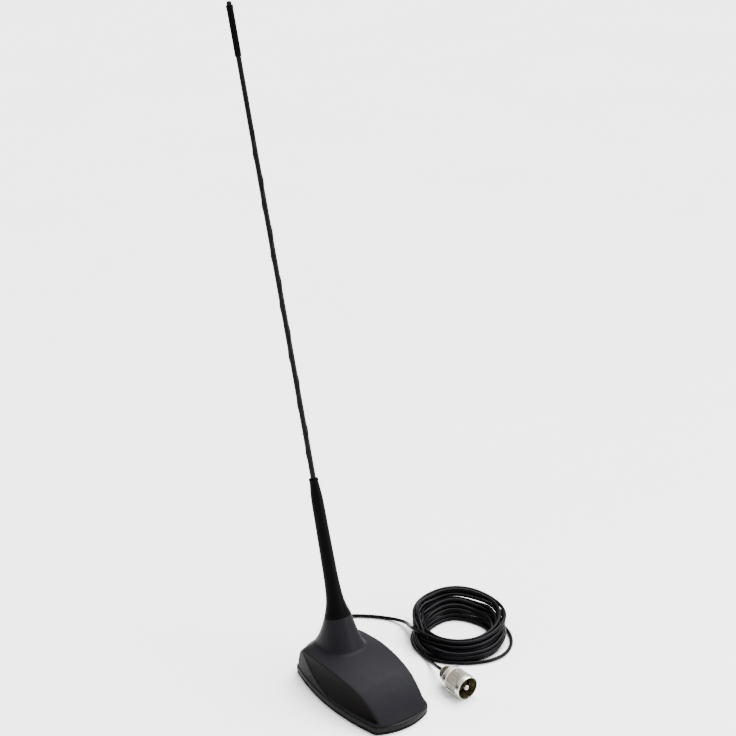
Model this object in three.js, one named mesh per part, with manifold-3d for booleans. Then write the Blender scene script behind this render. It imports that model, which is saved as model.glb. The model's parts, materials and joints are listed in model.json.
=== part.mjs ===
// A short vehicle-roof whip antenna on a streamlined magnetic base, with its coaxial lead wound
// into a loose coil and ending in a UHF plug.
// Millimetres, +Z up. The origin is on the ground, under the middle of the base. The nose of the
// base points to -Y, the whip leans back towards +Y, and the coil lies on the +X side.
import * as THREE from 'three';
import { mergeVertices } from 'three/addons/utils/BufferGeometryUtils.js';
import Module from 'manifold-3d';

const wasm = await Module();
wasm.setup();

const GAP = 0.3; // clearance between neighbouring pieces
const DEGREE = Math.PI / 180;

// Base outline: shallow arcs on the sides and the ends
const HALF_WIDTH = 28.7;
const HALF_LENGTH = 50.8;
const SIDE_RADIUS = 159;
const NOSE_RADIUS = 41;
const TAIL_RADIUS = 110;
const CORNER_SHARPNESS = 26;
const OUTLINE_POINTS = 60;

// Heights in the base
const PAD_TOP = 1.5;
const TRAY_BOTTOM = PAD_TOP + GAP;
const TRAY_FLOOR = 4.0;
const SPLIT = 6.0; // top of the tray's rim
const COVER_BOTTOM = SPLIT + GAP;
const WALL = 2.3;
const CROWN = 2.7; // how far the middle of the roof stands above its side edges
const EDGE_HALF_WIDTH = 25.2;

// Side scoops and the glossy trims in them
const SCOOP_REAR = 39; // where the scoop runs out, towards the back
const SCOOP_DEEPEST = -15;
const SCOOP_FRONT = -50;
const SCOOP_DEPTH = 3.8;
const SCOOP_HOLLOW = 0.9;
const SCOOP_FOOT = 7.2; // height of the ledge under the scoop
const LEDGE = 0.8;
const TRIM_THICKNESS = 1.5;
const TRIM_REAR = 33;
const TRIM_FRONT = -43.6;
const TRIM_LIP = 0.5;

// Whip axis: it stands on the boss and leans back
const SEAM = new THREE.Vector3(0, 28.1, 48.8);
const RAKE = 15.7 * DEGREE;
const SEAM_RADIUS = 9.4;
const BOSS_TOP_WALL = 4;
const BOSS_BORE = 6;
const WASHER_THICKNESS = 0.8;
const BOOT_LENGTH = 98.8;
const SLEEVE_END = 384;
const WINDING_END = 338;
const WINDING_PITCH = 34;
const WHIP_LENGTH = 419.6;

// Feed stud, M6 with a 1 mm pitch
const STUD_RADIUS = 2.6;
const STUD_REACH = 6.2; // how far the thread stands above the boss

// Magnets, steel plate and circuit board
const MAGNET_RADIUS = 16;
const MAGNET_THICKNESS = 5;
const MAGNET_CENTRES = { magnet_front: -17, magnet_rear: 16 };
const MAGNET_BOTTOM = TRAY_FLOOR + GAP;
const KEEPER_BOTTOM = MAGNET_BOTTOM + MAGNET_THICKNESS + GAP;
const KEEPER_THICKNESS = 2;
const KEEPER_TOP = KEEPER_BOTTOM + KEEPER_THICKNESS;
const BOARD_BOTTOM = KEEPER_TOP + 4;
const BOARD_THICKNESS = 1.6;
const BOARD_TOP = BOARD_BOTTOM + BOARD_THICKNESS;
const SPACER_RADIUS = 2.2;
const SPACER_SPOTS = [[-9, 0], [9, 26]];

// Screws that hold the tray to the cover
const SCREW_SPOTS = [[-12.5, -36.5], [12.5, -36.5], [-15, 40.5], [15, 40.5]];
const POST_RADIUS = 3;
const SHANK_RADIUS = 1.2;
const HEAD_RADIUS = 2.6;

// Lead
const CABLE_RADIUS = 1.3;
const CABLE_SIDES = 8;
const EXIT_HEIGHT = 6.2;
const GROMMET_TIP = 58;
const GROMMET_NECK = 2.6;
const GROMMET_FLANGE = 3.6;
const CLAMP_Y = 40.8;
const CLAMP_SCREW_X = 5.6;
const COIL_CENTRE = new THREE.Vector2(98.5, 14);
const COIL_OUTER = 35.2;
const COIL_INNER = 22.6;
const COIL_HEIGHT = 16.5;
const COIL_LEAN = 0.28; // how much higher than its middle the coil is piled at its far side
const COIL_DRIFT = 3.5; // how far its top has slipped that way over its foot
const COIL_LEAN_HEADING = 53 * DEGREE;

// UHF plug: its axis lies along Y, its mouth faces -Y
const PLUG_X = 53.1;
const PLUG_MOUTH = -49.3;
const RING_RADIUS = 8.7;
const RING_LENGTH = 18.2;
const PLUG_Z = RING_RADIUS + 0.05;
const RING_BORE = 7.7;
const RING_NECK = 6.3;
const PIN_RADIUS = 1.95;

const COLOURS = {
  cover: { color: 0x26262a, roughness: 0.5, metalness: 0 },
  trim: { color: 0x14110f, roughness: 0.22, metalness: 0 },
  tray: { color: 0x2b2b2e, roughness: 0.6, metalness: 0 },
  rubber: { color: 0x0d0d0e, roughness: 0.85, metalness: 0 },
  boot: { color: 0x1b191c, roughness: 0.6, metalness: 0 },
  sleeve: { color: 0x101012, roughness: 0.45, metalness: 0 },
  nylon: { color: 0xd9d5c8, roughness: 0.6, metalness: 0 },
  glassfibre: { color: 0xcfc9a8, roughness: 0.5, metalness: 0 },
  copper: { color: 0xb4683a, roughness: 0.35, metalness: 1 },
  brass: { color: 0xb89a55, roughness: 0.35, metalness: 1 },
  steel: { color: 0x9a9b9d, roughness: 0.35, metalness: 1 },
  magnet: { color: 0x3a3a3d, roughness: 0.5, metalness: 0.6 },
  board: { color: 0x1d5a34, roughness: 0.5, metalness: 0 },
  cable: { color: 0x0c0c0e, roughness: 0.5, metalness: 0 },
  nickel: { color: 0xc9c6bc, roughness: 0.3, metalness: 1 },
  phenolic: { color: 0x4a3a1c, roughness: 0.6, metalness: 0 },
};

const model = new THREE.Group();
const whip = new THREE.Group();
whip.position.copy(SEAM);
whip.rotation.x = -RAKE;
model.add(whip);

// ---------------------------------------------------------------- helpers

function piece(name, geometry, look, parent = model) {
  const mesh = new THREE.Mesh(geometry, new THREE.MeshStandardMaterial(COLOURS[look]));
  mesh.name = name;
  parent.add(mesh);
  return mesh;
}

function toSolid(geometry) {
  const bare = geometry.clone();
  bare.deleteAttribute('normal');
  bare.deleteAttribute('uv');
  const merged = mergeVertices(bare, 1e-4);
  return new wasm.Manifold(new wasm.Mesh({
    numProp: 3,
    vertProperties: new Float32Array(merged.attributes.position.array),
    triVerts: new Uint32Array(merged.index.array),
  }));
}

function toGeometry(solid) {
  const mesh = solid.getMesh();
  const geometry = new THREE.BufferGeometry();
  geometry.setAttribute('position', new THREE.BufferAttribute(mesh.vertProperties, 3));
  geometry.setIndex(new THREE.BufferAttribute(mesh.triVerts, 1));
  geometry.computeVertexNormals();
  return geometry;
}

function signedVolume(points, index) {
  let volume = 0;
  for (let i = 0; i < index.length; i += 3) {
    const [a, b, c] = [points[index[i]], points[index[i + 1]], points[index[i + 2]]];
    volume += a.dot(new THREE.Vector3().crossVectors(b, c)) / 6;
  }
  return volume;
}

function closedGeometry(points, index) {
  if (signedVolume(points, index) < 0) {
    index.reverse();
  }
  const geometry = new THREE.BufferGeometry().setFromPoints(points);
  geometry.setIndex(index);
  geometry.computeVertexNormals();
  return geometry;
}

// Closed solid through a row of rings that have equal numbers of points.
function loft(rings) {
  const count = rings[0].length;
  const points = rings.flat();
  const index = [];
  for (let ring = 0; ring + 1 < rings.length; ring++) {
    for (let i = 0; i < count; i++) {
      const a = ring * count + i;
      const b = ring * count + (i + 1) % count;
      index.push(a, b, a + count, b, b + count, a + count);
    }
  }
  const capStarts = [[0, true], [(rings.length - 1) * count, false]];
  for (const [start, isFirst] of capStarts) {
    const middle = new THREE.Vector3();
    for (let i = 0; i < count; i++) {
      middle.addScaledVector(points[start + i], 1 / count);
    }
    const hub = points.push(middle) - 1;
    for (let i = 0; i < count; i++) {
      const a = start + i;
      const b = start + (i + 1) % count;
      index.push(...(isFirst ? [b, a, hub] : [a, b, hub]));
    }
  }
  return closedGeometry(points, index);
}

// Solid of revolution about +Z. The profile is a list of [radius, height] and is closed by itself.
function turned(profile, segments = 24) {
  const outline = profile.map(([radius, height]) => new THREE.Vector2(radius, height));
  const closed = outline[0].x > 0 ? [...outline, outline[0].clone()] : outline;
  const geometry = new THREE.LatheGeometry(closed, segments);
  geometry.deleteAttribute('normal');
  geometry.deleteAttribute('uv');
  geometry.rotateX(Math.PI / 2);
  const merged = mergeVertices(geometry, 1e-5);
  const index = [];
  const source = merged.index.array;
  for (let i = 0; i < source.length; i += 3) {
    const [a, b, c] = [source[i], source[i + 1], source[i + 2]];
    if (a !== b && b !== c && c !== a) {
      index.push(a, b, c);
    }
  }
  const positions = merged.attributes.position;
  const points = [];
  for (let i = 0; i < positions.count; i++) {
    points.push(new THREE.Vector3().fromBufferAttribute(positions, i));
  }
  return closedGeometry(points, index);
}

function tube(bore, radius, bottom, top, segments = 24) {
  return turned([[bore, bottom], [radius, bottom], [radius, top], [bore, top]], segments);
}

function rod(radius, bottom, top, segments = 24) {
  return turned([[0, bottom], [radius, bottom], [radius, top], [0, top]], segments);
}

function plate(shape, bottom, thickness) {
  const settings = { depth: thickness, bevelEnabled: false, curveSegments: 5 };
  const geometry = new THREE.ExtrudeGeometry(shape, settings);
  return geometry.translate(0, 0, bottom);
}

function roundedRectangle(x0, y0, x1, y1, radius) {
  const shape = new THREE.Shape();
  shape.moveTo(x0 + radius, y0);
  shape.lineTo(x1 - radius, y0);
  shape.absarc(x1 - radius, y0 + radius, radius, -Math.PI / 2, 0);
  shape.lineTo(x1, y1 - radius);
  shape.absarc(x1 - radius, y1 - radius, radius, 0, Math.PI / 2);
  shape.lineTo(x0 + radius, y1);
  shape.absarc(x0 + radius, y1 - radius, radius, Math.PI / 2, Math.PI);
  shape.lineTo(x0, y0 + radius);
  shape.absarc(x0 + radius, y0 + radius, radius, Math.PI, 1.5 * Math.PI);
  return shape;
}

function cableAlong(curve, steps, radius = CABLE_RADIUS, sides = CABLE_SIDES) {
  const section = new THREE.Shape();
  for (let i = 0; i < sides; i++) {
    const angle = (i + 0.5) * 2 * Math.PI / sides;
    const move = i === 0 ? 'moveTo' : 'lineTo';
    section[move](radius * Math.cos(angle), radius * Math.sin(angle));
  }
  return new THREE.ExtrudeGeometry(section, { steps, extrudePath: curve, bevelEnabled: false });
}

// ---------------------------------------------------------------- shape of the base

// One level of the base's outline. inset pulls it in all round, and tailInset at the back only.
function outlineRing(z, {
  inset = 0, tailInset = 0, tailRadius = TAIL_RADIUS, tailSharpness = CORNER_SHARPNESS,
} = {}) {
  const ring = [];
  for (let i = 0; i < OUTLINE_POINTS; i++) {
    const angle = i * 2 * Math.PI / OUTLINE_POINTS;
    const atBack = Math.sin(angle) > 0;
    const halfLength = HALF_LENGTH - inset - (atBack ? tailInset : 0);
    const endRadius = atBack ? tailRadius : NOSE_RADIUS;
    const sharpness = atBack ? tailSharpness : CORNER_SHARPNESS;
    const isInside = (x, y) => {
      const width = HALF_WIDTH - inset - y * y / (2 * SIDE_RADIUS);
      const reach = Math.max(halfLength - x * x / (2 * endRadius), 1);
      return (Math.abs(x) / width) ** sharpness + (Math.abs(y) / reach) ** sharpness < 1;
    };
    let low = 0;
    let high = HALF_LENGTH + HALF_WIDTH;
    for (let step = 0; step < 40; step++) {
      const radius = (low + high) / 2;
      if (isInside(radius * Math.cos(angle), radius * Math.sin(angle))) {
        low = radius;
      } else {
        high = radius;
      }
    }
    ring.push(new THREE.Vector3(low * Math.cos(angle), low * Math.sin(angle), z));
  }
  return ring;
}

// Height of the roof's side edge along the base, from the tail to the nose.
const ROOF_EDGE = [
  [54, 4], [50.4, 10], [47, 16.5], [42, 21.5], [35, 24.2], [20, 25.8], [8, 26.5], [-8, 25.3],
  [-23, 22.4], [-32.4, 17.9], [-41.3, 11.4], [-46.5, 6.3], [-54, -3],
].map(([y, z]) => new THREE.Vector2(y, z));
const roofCurve = new THREE.SplineCurve(ROOF_EDGE);
const roofSamples = roofCurve.getPoints(240);

function roofEdgeHeight(y) {
  let i = 1;
  while (i < roofSamples.length - 1 && roofSamples[i].x > y) {
    i++;
  }
  const [before, after] = [roofSamples[i - 1], roofSamples[i]];
  const share = (y - before.x) / (after.x - before.x);
  return before.y + share * (after.y - before.y);
}

function roofHeight(x, y) {
  return roofEdgeHeight(y) + CROWN * (1 - (x / EDGE_HALF_WIDTH) ** 2);
}

// Everything under the roof surface, lowered by drop.
function underRoof(drop, floor) {
  const [columns, rows] = [8, 26];
  const [reachX, reachY] = [32, 53];
  const points = [];
  const index = [];
  for (let row = 0; row <= rows; row++) {
    for (let column = 0; column <= columns; column++) {
      const x = -reachX + 2 * reachX * column / columns;
      const y = -reachY + 2 * reachY * row / rows;
      points.push(new THREE.Vector3(x, y, roofHeight(x, y) - drop));
      points.push(new THREE.Vector3(x, y, floor));
    }
  }
  const at = (row, column, side) => 2 * (row * (columns + 1) + column) + side;
  const quad = (a, b, c, d) => index.push(a, b, c, a, c, d);
  for (let row = 0; row < rows; row++) {
    for (let column = 0; column < columns; column++) {
      quad(at(row, column, 0), at(row, column + 1, 0), at(row + 1, column + 1, 0),
        at(row + 1, column, 0));
      quad(at(row, column, 1), at(row + 1, column, 1), at(row + 1, column + 1, 1),
        at(row, column + 1, 1));
    }
  }
  for (let column = 0; column < columns; column++) {
    quad(at(0, column, 0), at(0, column, 1), at(0, column + 1, 1), at(0, column + 1, 0));
    quad(at(rows, column + 1, 0), at(rows, column + 1, 1), at(rows, column, 1),
      at(rows, column, 0));
  }
  for (let row = 0; row < rows; row++) {
    quad(at(row + 1, 0, 0), at(row + 1, 0, 1), at(row, 0, 1), at(row, 0, 0));
    quad(at(row, columns, 0), at(row, columns, 1), at(row + 1, columns, 1),
      at(row + 1, columns, 0));
  }
  return closedGeometry(points, index);
}

// ---------------------------------------------------------------- side scoops

function scoopDepth(y) {
  if (y > SCOOP_DEEPEST) {
    const share = Math.max(SCOOP_REAR - y, 0) / (SCOOP_REAR - SCOOP_DEEPEST);
    return SCOOP_DEPTH * Math.sin(share * Math.PI / 2);
  }
  const closing = 1.8 * DEGREE; // per millimetre towards the nose
  return SCOOP_DEPTH * Math.cos((SCOOP_DEEPEST - y) * closing);
}

function scoopFoot(y) {
  const rise = Math.max(y, 0) / SCOOP_REAR;
  return SCOOP_FOOT + (roofEdgeHeight(SCOOP_REAR) - SCOOP_FOOT) * rise ** 1.4;
}

// Half width of the scooped side at a share of the way up from the ledge to the roof's edge.
function scoopHalfWidth(y, share) {
  const plain = HALF_WIDTH - 0.5 - y * y / (2 * SIDE_RADIUS);
  const depth = scoopDepth(y);
  const fade = depth / SCOOP_DEPTH;
  const hollow = SCOOP_HOLLOW * 4 * share * (1 - share);
  return plain - fade * (LEDGE + hollow) - (depth - fade * LEDGE) * share;
}

// Solid beside the scooped surface, from sunk millimetres inside it out to the given thickness.
function besideScoop({ side, from, to, sunk, thickness, footLift, topDrop, steps }) {
  const rings = [];
  const levels = 4;
  for (let step = 0; step <= steps; step++) {
    const y = from + (to - from) * step / steps;
    const foot = scoopFoot(y);
    const top = Math.max(roofEdgeHeight(y), foot + 1.5);
    const inner = [];
    const outer = [];
    for (let level = 0; level <= levels; level++) {
      const share = level / levels;
      const z = foot + footLift + (top - topDrop - foot - footLift) * share;
      const x = scoopHalfWidth(y, Math.min((z - foot) / (top - foot), 1)) - sunk;
      inner.push(new THREE.Vector3(side * x, y, z));
      outer.unshift(new THREE.Vector3(side * (x + thickness), y, z));
    }
    rings.push([...inner, ...outer]);
  }
  return loft(rings);
}

// ---------------------------------------------------------------- base pieces

// The raked boss: a round seat at the top that spreads into an egg shape with its tail to the rear.
function bossGeometry() {
  const rings = [];
  const [footHeight, footSide, footFront, footRear] = [20, 17.4, 19.5, 29];
  const fullness = 0.78; // under 1 makes the foot squarer than an ellipse
  const levels = 6;
  const sides = 32;
  const footY = SEAM.y - (SEAM.z - footHeight) * Math.tan(RAKE);
  for (let level = 0; level <= levels; level++) {
    const share = level / levels;
    const spread = 0.68 * share + 0.32 * share ** 3;
    const ring = [];
    for (let i = 0; i < sides; i++) {
      const angle = i * 2 * Math.PI / sides;
      const across = Math.cos(angle);
      const along = Math.sin(angle);
      const seat = new THREE.Vector3(SEAM_RADIUS * across, SEAM_RADIUS * along, 0);
      seat.applyAxisAngle(new THREE.Vector3(1, 0, 0), -RAKE).add(SEAM);
      const reach = along > 0 ? footRear : footFront;
      const footX = footSide * Math.sign(across) * Math.abs(across) ** fullness;
      const footAlong = reach * Math.sign(along) * Math.abs(along) ** fullness;
      const foot = new THREE.Vector3(footX, footY + footAlong, footHeight);
      const point = new THREE.Vector3().lerpVectors(seat, foot, spread);
      point.z = seat.z + (foot.z - seat.z) * share;
      ring.push(point);
    }
    rings.push(ring);
  }
  return loft(rings.reverse());
}

function alongWhip(geometry) {
  return geometry.rotateX(-RAKE).translate(SEAM.x, SEAM.y, SEAM.z);
}

function alongLead(geometry) {
  return geometry.rotateX(-Math.PI / 2).translate(0, 0, EXIT_HEIGHT);
}

function coverGeometry() {
  const shell = loft([
    outlineRing(COVER_BOTTOM, { inset: 0.4 }),
    outlineRing(12, { inset: 0.5, tailInset: 0.6, tailSharpness: 20 }),
    outlineRing(18, { inset: 0.7, tailInset: 2.2, tailSharpness: 14 }),
    outlineRing(25, { inset: 1.0, tailInset: 5, tailRadius: 45, tailSharpness: 9 }),
    outlineRing(34, { inset: 1.8, tailInset: 9, tailRadius: 41, tailSharpness: 7 }),
  ]);
  const cavity = loft([
    outlineRing(COVER_BOTTOM - 1, { inset: 3.2, tailInset: 0 }),
    outlineRing(COVER_BOTTOM + 1.2, { inset: 3.2, tailInset: 0 }),
    outlineRing(COVER_BOTTOM + 2.6, { inset: 7.6, tailInset: -4 }),
    outlineRing(34, { inset: 8.4, tailInset: 4 }),
  ]);
  let cover = toSolid(shell).intersect(toSolid(underRoof(0, 0)));
  for (const side of [-1, 1]) {
    const scoop = besideScoop({
      side, from: SCOOP_FRONT, to: SCOOP_REAR, sunk: 0, thickness: 12, footLift: 0,
      topDrop: -3, steps: 22,
    });
    cover = cover.subtract(toSolid(scoop));
  }
  cover = cover.add(toSolid(bossGeometry()));
  let hollow = toSolid(cavity).intersect(toSolid(underRoof(WALL, 0)));
  hollow = hollow.add(toSolid(alongWhip(rod(BOSS_BORE, -28, -BOSS_TOP_WALL))));
  for (const [x, y] of SCREW_SPOTS) {
    hollow = hollow.subtract(toSolid(rod(POST_RADIUS, 0, 40, 16).translate(x, y, 0)));
  }
  cover = cover.subtract(hollow);
  for (const [x, y] of SCREW_SPOTS) {
    cover = cover.subtract(toSolid(rod(SHANK_RADIUS + GAP, 0, 11.5, 12).translate(x, y, 0)));
  }
  for (const side of [-1, 1]) {
    const pocket = besideScoop({
      side, from: TRIM_FRONT - 2 * GAP, to: TRIM_REAR + 2 * GAP, sunk: TRIM_THICKNESS + GAP,
      thickness: 8, footLift: 0, topDrop: TRIM_LIP, steps: 16,
    });
    cover = cover.subtract(toSolid(pocket));
  }
  cover = cover.subtract(toSolid(alongWhip(rod(STUD_RADIUS + GAP, -8, 4))));
  cover = cover.subtract(toSolid(alongLead(rod(GROMMET_NECK + GAP, 38, 60, 16))));
  return toGeometry(cover);
}

function trimGeometry(side) {
  return besideScoop({
    side, from: TRIM_FRONT, to: TRIM_REAR, sunk: TRIM_THICKNESS, thickness: TRIM_THICKNESS,
    footLift: GAP, topDrop: TRIM_LIP + GAP, steps: 16,
  });
}

function trayGeometry() {
  let tray = toSolid(loft([
    outlineRing(TRAY_BOTTOM, { inset: 0.5 }),
    outlineRing(TRAY_BOTTOM + 0.8, { inset: 0 }),
    outlineRing(SPLIT, { inset: 0 }),
  ]));
  tray = tray.subtract(toSolid(loft([
    outlineRing(TRAY_FLOOR, { inset: 3 }),
    outlineRing(SPLIT + 1, { inset: 3 }),
  ])));
  for (const [x, y] of SCREW_SPOTS) {
    tray = tray.subtract(toSolid(rod(SHANK_RADIUS + GAP, 0, 8, 12).translate(x, y, 0)));
    tray = tray.subtract(toSolid(rod(HEAD_RADIUS + GAP, 0, 3.2, 16).translate(x, y, 0)));
  }
  for (const side of [-1, 1]) {
    const hole = rod(1.2, TRAY_BOTTOM + 0.7, 8, 12);
    tray = tray.subtract(toSolid(hole.translate(side * CLAMP_SCREW_X, CLAMP_Y, 0)));
  }
  tray = tray.subtract(toSolid(alongLead(rod(GROMMET_NECK + GAP, 38, 60, 16))));
  return toGeometry(tray.subtract(toSolid(alongLead(rod(GROMMET_FLANGE + GAP, 43.2, 46, 16)))));
}

function padGeometry() {
  return loft([
    outlineRing(0, { inset: 0.6 }),
    outlineRing(0.3, { inset: 0.25 }),
    outlineRing(PAD_TOP, { inset: 0.25 }),
  ]);
}

function screwGeometry(x, y) {
  const profile = [
    [0, 1.9], [HEAD_RADIUS, 1.9], [HEAD_RADIUS, 2.9], [SHANK_RADIUS, 2.9], [SHANK_RADIUS, 11],
    [0, 11],
  ];
  return turned(profile, 14).translate(x, y, 0);
}

function buildBase() {
  piece('base_cover', coverGeometry(), 'cover');
  piece('side_trim_left', trimGeometry(-1), 'trim');
  piece('side_trim_right', trimGeometry(1), 'trim');
  piece('base_tray', trayGeometry(), 'tray');
  piece('base_pad', padGeometry(), 'rubber');
  SCREW_SPOTS.forEach(([x, y], i) => {
    piece(`cover_screw_${i + 1}`, screwGeometry(x, y), 'steel');
  });
}

function buildMagnets() {
  for (const [name, y] of Object.entries(MAGNET_CENTRES)) {
    const top = MAGNET_BOTTOM + MAGNET_THICKNESS;
    piece(name, rod(MAGNET_RADIUS, MAGNET_BOTTOM, top, 32).translate(0, y, 0), 'magnet');
  }
  const steelPlate = roundedRectangle(-13, -31, 13, 33, 3);
  piece('keeper_plate', plate(steelPlate, KEEPER_BOTTOM, KEEPER_THICKNESS), 'steel');
}

// ---------------------------------------------------------------- matching network and feed

function buildBoard() {
  const board = toSolid(plate(roundedRectangle(-12.5, -6, 12.5, 30, 1), BOARD_BOTTOM,
    BOARD_THICKNESS));
  piece('circuit_board', toGeometry(board), 'board');
  SPACER_SPOTS.forEach(([x, y], i) => {
    const spacer = tube(1.2, SPACER_RADIUS, KEEPER_TOP + 0.1, BOARD_BOTTOM - 0.1, 14);
    piece(`board_spacer_${i + 1}`, spacer.translate(x, y, 0), 'nylon');
  });
  const winding = tube(2.6, 4.2, BOARD_TOP + 0.2, BOARD_TOP + 7, 20).translate(-5, 3, 0);
  piece('matching_coil', winding, 'copper');
}

function buildFeed() {
  const nutBottom = -BOSS_TOP_WALL - 4;
  const stud = turned([
    [0, -16], [STUD_RADIUS, -16], [STUD_RADIUS, STUD_REACH - 0.6], [STUD_RADIUS - 0.6, STUD_REACH],
    [0, STUD_REACH],
  ]);
  piece('antenna_stud', stud, 'brass', whip);
  const nutShape = new THREE.Shape();
  for (let corner = 0; corner < 6; corner++) {
    const move = corner === 0 ? 'moveTo' : 'lineTo';
    const angle = corner * Math.PI / 3;
    nutShape[move](5.2 * Math.cos(angle), 5.2 * Math.sin(angle));
  }
  nutShape.holes.push(new THREE.Path().absarc(0, 0, STUD_RADIUS + 0.15, 0, 2 * Math.PI, true));
  piece('stud_nut', plate(nutShape, nutBottom, 3.6), 'brass', whip);
  const tagShape = roundedRectangle(-4.4, -4.4, 4.4, 4.4, 4.2);
  tagShape.holes.push(new THREE.Path().absarc(0, 0, STUD_RADIUS + 0.15, 0, 2 * Math.PI, true));
  piece('solder_tag', plate(tagShape, nutBottom - 1, 0.7), 'brass', whip);
  const wirePath = new THREE.CatmullRomCurve3([
    new THREE.Vector3(0, 21.9, 31.2),
    new THREE.Vector3(0, 20.6, 28),
    new THREE.Vector3(1.5, 17, 23),
    new THREE.Vector3(2, 14, BOARD_TOP + 0.6),
  ]);
  piece('feed_wire', cableAlong(wirePath, 10, 0.5, 6), 'copper');
}

// ---------------------------------------------------------------- whip

// Radius of the moulded boot at a distance above the seam.
const BOOT_PROFILE = [
  [0, 9.4], [2.5, 8.6], [6, 7.45], [10.4, 6.4], [14.8, 5.85], [19.1, 5.5], [27.8, 5.05],
  [36.5, 4.86], [49.5, 4.65], [62.6, 4.45], [75.6, 4.3], [84.3, 4.1], [88.6, 3.8], [93, 3.4],
  [96.6, 3.05],
];

function bootGeometry() {
  const recess = SEAM_RADIUS - 1.2;
  const bottom = 0.25;
  const washerTop = WASHER_THICKNESS + bottom;
  const insertTop = 13.3;
  const formerTop = 61;
  const skin = new THREE.SplineCurve(BOOT_PROFILE.map(([s, r]) => new THREE.Vector2(r, s)));
  const outside = skin.getPoints(15).slice(1).map((point) => [point.x, point.y]);
  return turned([
    [recess, bottom], [SEAM_RADIUS, bottom], ...outside,
    [3.3, 97.0], [3.3, 98.2], [3.0, BOOT_LENGTH], [2.1, BOOT_LENGTH],
    [2.1, formerTop + 1], [3.35, formerTop - 2], [3.35, insertTop + 1], [5.0, insertTop],
    [5.0, washerTop + GAP], [recess, washerTop + GAP],
  ], 24);
}

function windingCurve(radius, from, to, turns) {
  const curve = new THREE.Curve();
  curve.getPoint = (t, target = new THREE.Vector3()) => {
    const angle = t * turns * 2 * Math.PI;
    return target.set(radius * Math.cos(angle), radius * Math.sin(angle), from + (to - from) * t);
  };
  return curve;
}

function buildWhip() {
  piece('whip_boot', bootGeometry(), 'boot', whip);
  piece('seal_washer', tube(5.6, SEAM_RADIUS - 1.6, 0.2, WASHER_THICKNESS, 32), 'rubber', whip);
  const insert = turned([
    [STUD_RADIUS + GAP, 1.1], [4.7, 1.1], [4.7, 13], [0, 13], [0, 8], [STUD_RADIUS + GAP, 8],
  ]);
  piece('boot_insert', insert, 'brass', whip);
  const former = turned([
    [0, 13.5], [2.1, 13.5], [2.1, 60], [1.2, 60], [1.2, 50], [0, 50],
  ], 16);
  piece('loading_former', former, 'nylon', whip);
  piece('loading_coil', tube(2.35, 3.0, 16, 56, 20), 'copper', whip);
  piece('whip_rod', rod(0.9, 50.3, WHIP_LENGTH - 4, 10), 'glassfibre', whip);
  const winding = windingCurve(1.2, 100, WINDING_END, (WINDING_END - 100) / WINDING_PITCH);
  piece('whip_winding', cableAlong(winding, 70, 0.17, 4), 'copper', whip);
  const sleeve = turned([
    [1.45, 90], [1.93, 90], [1.93, 102], [1.7, SLEEVE_END - 0.3], [1.45, SLEEVE_END - 0.3],
  ], 16);
  piece('whip_sleeve', sleeve, 'sleeve', whip);
  const capBase = WHIP_LENGTH - 2.4;
  const tip = turned([
    [1.3, SLEEVE_END], [2.15, SLEEVE_END], [2.2, SLEEVE_END + 1], [2.25, capBase - 2.5],
    [2.45, capBase - 2], [2.45, capBase - 0.6], [2.2, capBase - GAP], [1.3, capBase - GAP],
  ], 16);
  piece('tip_sleeve', tip, 'boot', whip);
  const cap = turned([
    [0, capBase], [1.7, capBase], [1.7, capBase + 1.2], [1.2, capBase + 2.1], [0, WHIP_LENGTH],
  ], 16);
  piece('tip_cap', cap, 'rubber', whip);
}

// ---------------------------------------------------------------- lead

function buildLeadEntry() {
  const grommet = turned([
    [CABLE_RADIUS + 0.25, 43.5], [GROMMET_FLANGE, 43.5], [GROMMET_FLANGE, 45.2],
    [GROMMET_NECK, 45.2],
    [GROMMET_NECK, 51.4], [3.4, 51.4], [3.4, 53], [1.9, GROMMET_TIP],
    [CABLE_RADIUS + 0.25, GROMMET_TIP],
  ], 20);
  piece('cable_grommet', alongLead(grommet), 'rubber');
  let bar = toSolid(new THREE.BoxGeometry(15, 4.4, 1.4).translate(0, CLAMP_Y, 8.8));
  for (const [name, side] of [['clamp_screw_left', -1], ['clamp_screw_right', 1]]) {
    const x = side * CLAMP_SCREW_X;
    bar = bar.subtract(toSolid(rod(1.2, 5, 12, 12).translate(x, CLAMP_Y, 0)));
    const screw = turned([
      [0, TRAY_BOTTOM + 1], [0.9, TRAY_BOTTOM + 1], [0.9, 9.8], [1.8, 9.8], [1.8, 10.8], [0, 10.8],
    ], 12);
    piece(name, screw.translate(x, CLAMP_Y, 0), 'steel');
  }
  piece('cable_clamp', toGeometry(bar), 'steel');
  const inside = new THREE.CatmullRomCurve3([
    new THREE.Vector3(0, GROMMET_TIP - GAP, EXIT_HEIGHT),
    new THREE.Vector3(0, 52, EXIT_HEIGHT),
    new THREE.Vector3(0, 43.4, EXIT_HEIGHT),
    new THREE.Vector3(0, 39.2, EXIT_HEIGHT),
    new THREE.Vector3(0, 36.4, 8.6),
    new THREE.Vector3(0, 34.6, 12.4),
    new THREE.Vector3(0, 32.8, 15.4),
    new THREE.Vector3(0, 30.5, BOARD_BOTTOM + BOARD_THICKNESS / 2),
  ]);
  piece('inner_cable', cableAlong(inside, 22), 'cable');
}

// The lead's free run from the grommet round to the coil, as it lies on the ground.
const RUN_TO_COIL = [
  [0, 58.3, 6.2], [0.5, 61.6, 6], [2.8, 64.8, 4.9], [6.8, 67.4, 3.1], [11.5, 69.4, 1.8],
  [17, 71.8, 1.35], [24, 76, 1.35], [31.6, 80.8, 1.35], [38.4, 84, 1.35], [45, 83.8, 1.35],
  [51.5, 80.6, 1.35], [59.1, 74.6, 1.35], [66.3, 67.4, 1.35], [70.7, 61.6, 1.5],
  [73.3, 56, 2.3], [74.3, 50.2, 3.4], [73.9, 45, 5], [72.6, 41, 6.4],
];

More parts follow.
